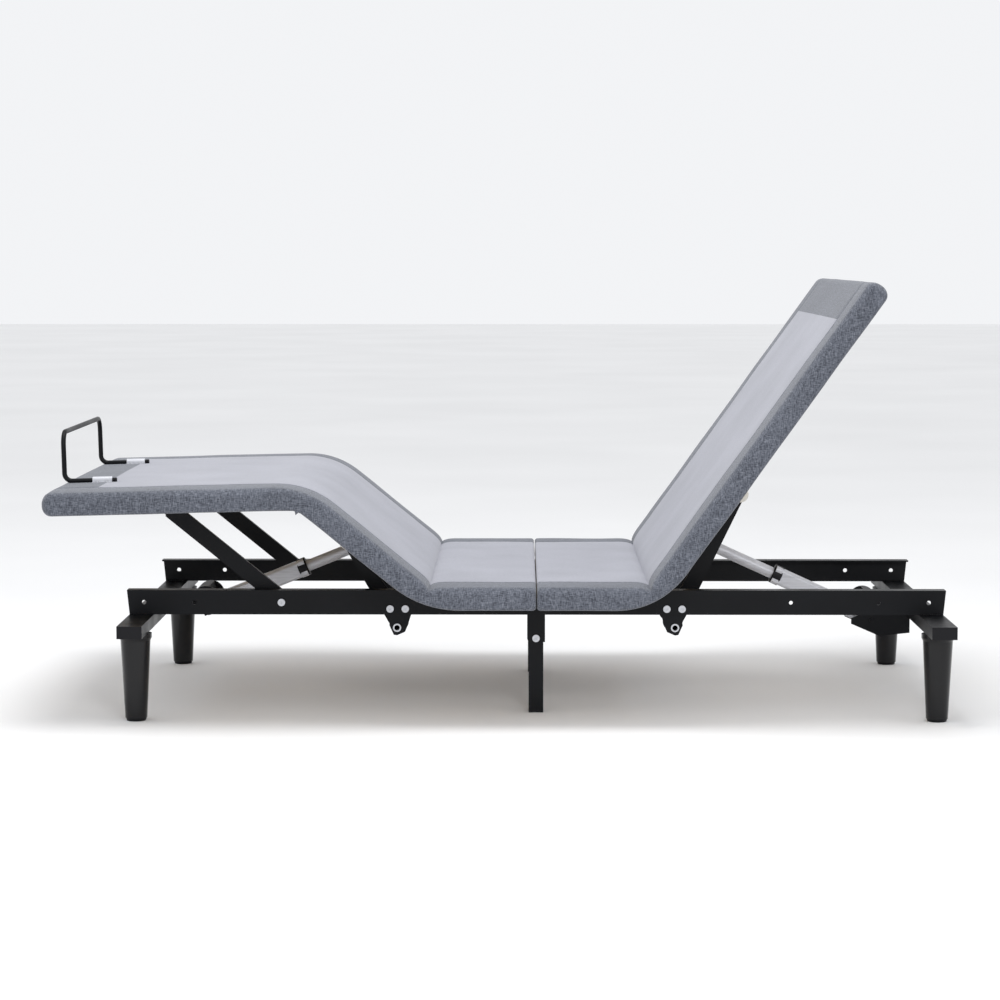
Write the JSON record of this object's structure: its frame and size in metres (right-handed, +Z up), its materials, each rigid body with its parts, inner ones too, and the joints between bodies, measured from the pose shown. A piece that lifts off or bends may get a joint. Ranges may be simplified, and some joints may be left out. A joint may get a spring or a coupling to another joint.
{
  "type": "adjustable bed base",
  "caption": "Padded bed base whose back, thigh and foot sections are raised by two electric actuators on a black steel frame with legs.",
  "frame": {"origin": "on the floor, under the middle of the part's outer box as drawn", "axes": "+Z up, +X towards the head end, +Y towards the right side of a sleeper who looks at the foot end"},
  "size_m": [1.8165, 0.96, 0.8847],
  "materials": {
    "black_frame": "satin black powder coat",
    "zinc": "zinc plated",
    "aluminium": "satin anodised",
    "leg_plastic": "gloss black",
    "black_plastic": "matt moulded",
    "nylon": "natural nylon",
    "fabric": "woven blue-grey upholstery cloth",
    "fabric_light": "light grey anti-slip cloth",
    "board": "raw plywood"
  },
  "bodies": {
    "base": {"rail_left_foot": "black_frame", "rail_left_head": "black_frame", "rail_right_foot": "black_frame", "rail_right_head": "black_frame", "crossbar_foot": "black_frame", "crossbar_head": "black_frame", "crossbar_caps": "black_plastic", "leg_foot_left": "leg_plastic", "leg_foot_right": "leg_plastic", "leg_head_left": "leg_plastic", "leg_head_right": "leg_plastic", "leg_pads": "black_plastic", "seat_crossbars": "black_frame", "centre_brackets": "black_frame", "lift_brackets": "black_frame", "frame_bolts": "zinc", "seat_board_foot": "board", "seat_board_head": "board", "seat_pad_foot": "fabric", "seat_pad_head": "fabric", "fixed_hinge_leaves": "zinc", "actuator_clevises": "black_frame", "control_box": "black_plastic"},
    "thigh": {"thigh_board": "board", "thigh_pad": "fabric", "thigh_frame": "black_frame", "thigh_hinge_leaves": "zinc", "knee_hinge_thigh": "black_frame"},
    "foot": {"foot_board": "board", "foot_pad": "fabric", "foot_frame": "black_frame", "knee_hinge_foot": "black_frame", "retainer_bar": "black_frame", "retainer_clamps": "aluminium", "retainer_screws": "zinc"},
    "back": {"back_board": "board", "back_pad": "fabric", "back_frame": "black_frame", "back_hinge_leaves": "zinc"},
    "support_arms": {"support_arm_left": "black_frame", "support_arm_right": "black_frame", "arm_shaft": "zinc"},
    "foot_lift": {"foot_lift_tube": "zinc", "foot_lift_levers": "black_frame", "foot_lift_sliders": "nylon", "foot_lift_pins": "zinc"},
    "back_lift": {"back_lift_tube": "zinc", "back_lift_levers": "black_frame", "back_lift_sliders": "nylon", "back_lift_pins": "zinc"},
    "foot_tube": {"foot_actuator_tube": "aluminium", "foot_actuator_motor": "black_plastic"},
    "foot_rod": {"foot_actuator_rod": "aluminium"},
    "back_tube": {"back_actuator_tube": "aluminium", "back_actuator_motor": "black_plastic"},
    "back_rod": {"back_actuator_rod": "aluminium"},
    "centre_leg_l": {"centre_leg_left": "black_frame", "centre_leg_cap_left": "black_plastic"},
    "centre_leg_r": {"centre_leg_right": "black_frame", "centre_leg_cap_right": "black_plastic"}
  },
  "joints": [
    {"name": "back_hinge", "type": "hinge", "parent": "base", "child": "back", "pos_m": [0.30094, 0, 0.264], "axis": [0, -1, 0], "range_deg": [-54.5, 10.5]},
    {"name": "thigh_hinge", "type": "hinge", "parent": "base", "child": "thigh", "pos_m": [-0.14506, 0, 0.264], "axis": [0, 1, 0], "range_deg": [-39, 6]},
    {"name": "foot_hinge", "type": "hinge", "parent": "thigh", "child": "foot", "pos_m": [-0.40097, 0, 0.43263], "axis": [0, 1, 0], "range_deg": [-6.32, 40.5]},
    {"name": "support_arms", "type": "hinge", "parent": "base", "child": "support_arms", "pos_m": [-0.44906, 0, 0.227], "axis": [0, 1, 0], "range_deg": [-38.52, 6.18]},
    {"name": "foot_lift", "type": "hinge", "parent": "base", "child": "foot_lift", "pos_m": [-0.21306, 0, 0.175], "axis": [0, 1, 0], "range_deg": [-44.99, 7.17]},
    {"name": "back_lift", "type": "hinge", "parent": "base", "child": "back_lift", "pos_m": [0.35494, 0, 0.175], "axis": [0, -1, 0], "range_deg": [-54.4, 10.72]},
    {"name": "foot_actuator_tilt", "type": "hinge", "parent": "base", "child": "foot_tube", "pos_m": [-0.62906, 0, 0.184], "axis": [0, -1, 0], "range_deg": [-13.56, 2.34]},
    {"name": "foot_actuator_stroke", "type": "slide", "parent": "foot_tube", "child": "foot_rod", "axis": [0.9276, 0, 0.3736], "range_m": [-0.1033, 0.0162]},
    {"name": "back_actuator_tilt", "type": "hinge", "parent": "base", "child": "back_tube", "pos_m": [0.78594, 0, 0.16], "axis": [0, 1, 0], "range_deg": [-14.47, 3.03]},
    {"name": "back_actuator_stroke", "type": "slide", "parent": "back_tube", "child": "back_rod", "axis": [-0.9101, 0, 0.4144], "range_m": [-0.1229, 0.024]},
    {"name": "centre_leg_fold_left", "type": "hinge", "parent": "base", "child": "centre_leg_l", "pos_m": [0.07094, -0.2735, 0.154], "axis": [0, 1, 0], "range_deg": [0, 90]},
    {"name": "centre_leg_fold_right", "type": "hinge", "parent": "base", "child": "centre_leg_r", "pos_m": [0.07094, 0.2735, 0.154], "axis": [0, 1, 0], "range_deg": [0, 90]}
  ],
  "couplings": [
    {"joint": "foot_hinge", "follows": "thigh_hinge", "ratio": -1.0359},
    {"joint": "support_arms", "follows": "thigh_hinge", "ratio": 0.98},
    {"joint": "foot_lift", "follows": "thigh_hinge", "ratio": 1.1459},
    {"joint": "foot_actuator_tilt", "follows": "thigh_hinge", "ratio": 0.34},
    {"joint": "foot_actuator_stroke", "follows": "thigh_hinge", "m_per_rad": 0.1512},
    {"joint": "back_lift", "follows": "back_hinge", "ratio": 0.9927},
    {"joint": "back_actuator_tilt", "follows": "back_hinge", "ratio": 0.26},
    {"joint": "back_actuator_stroke", "follows": "back_hinge", "m_per_rad": 0.1288}
  ]
}
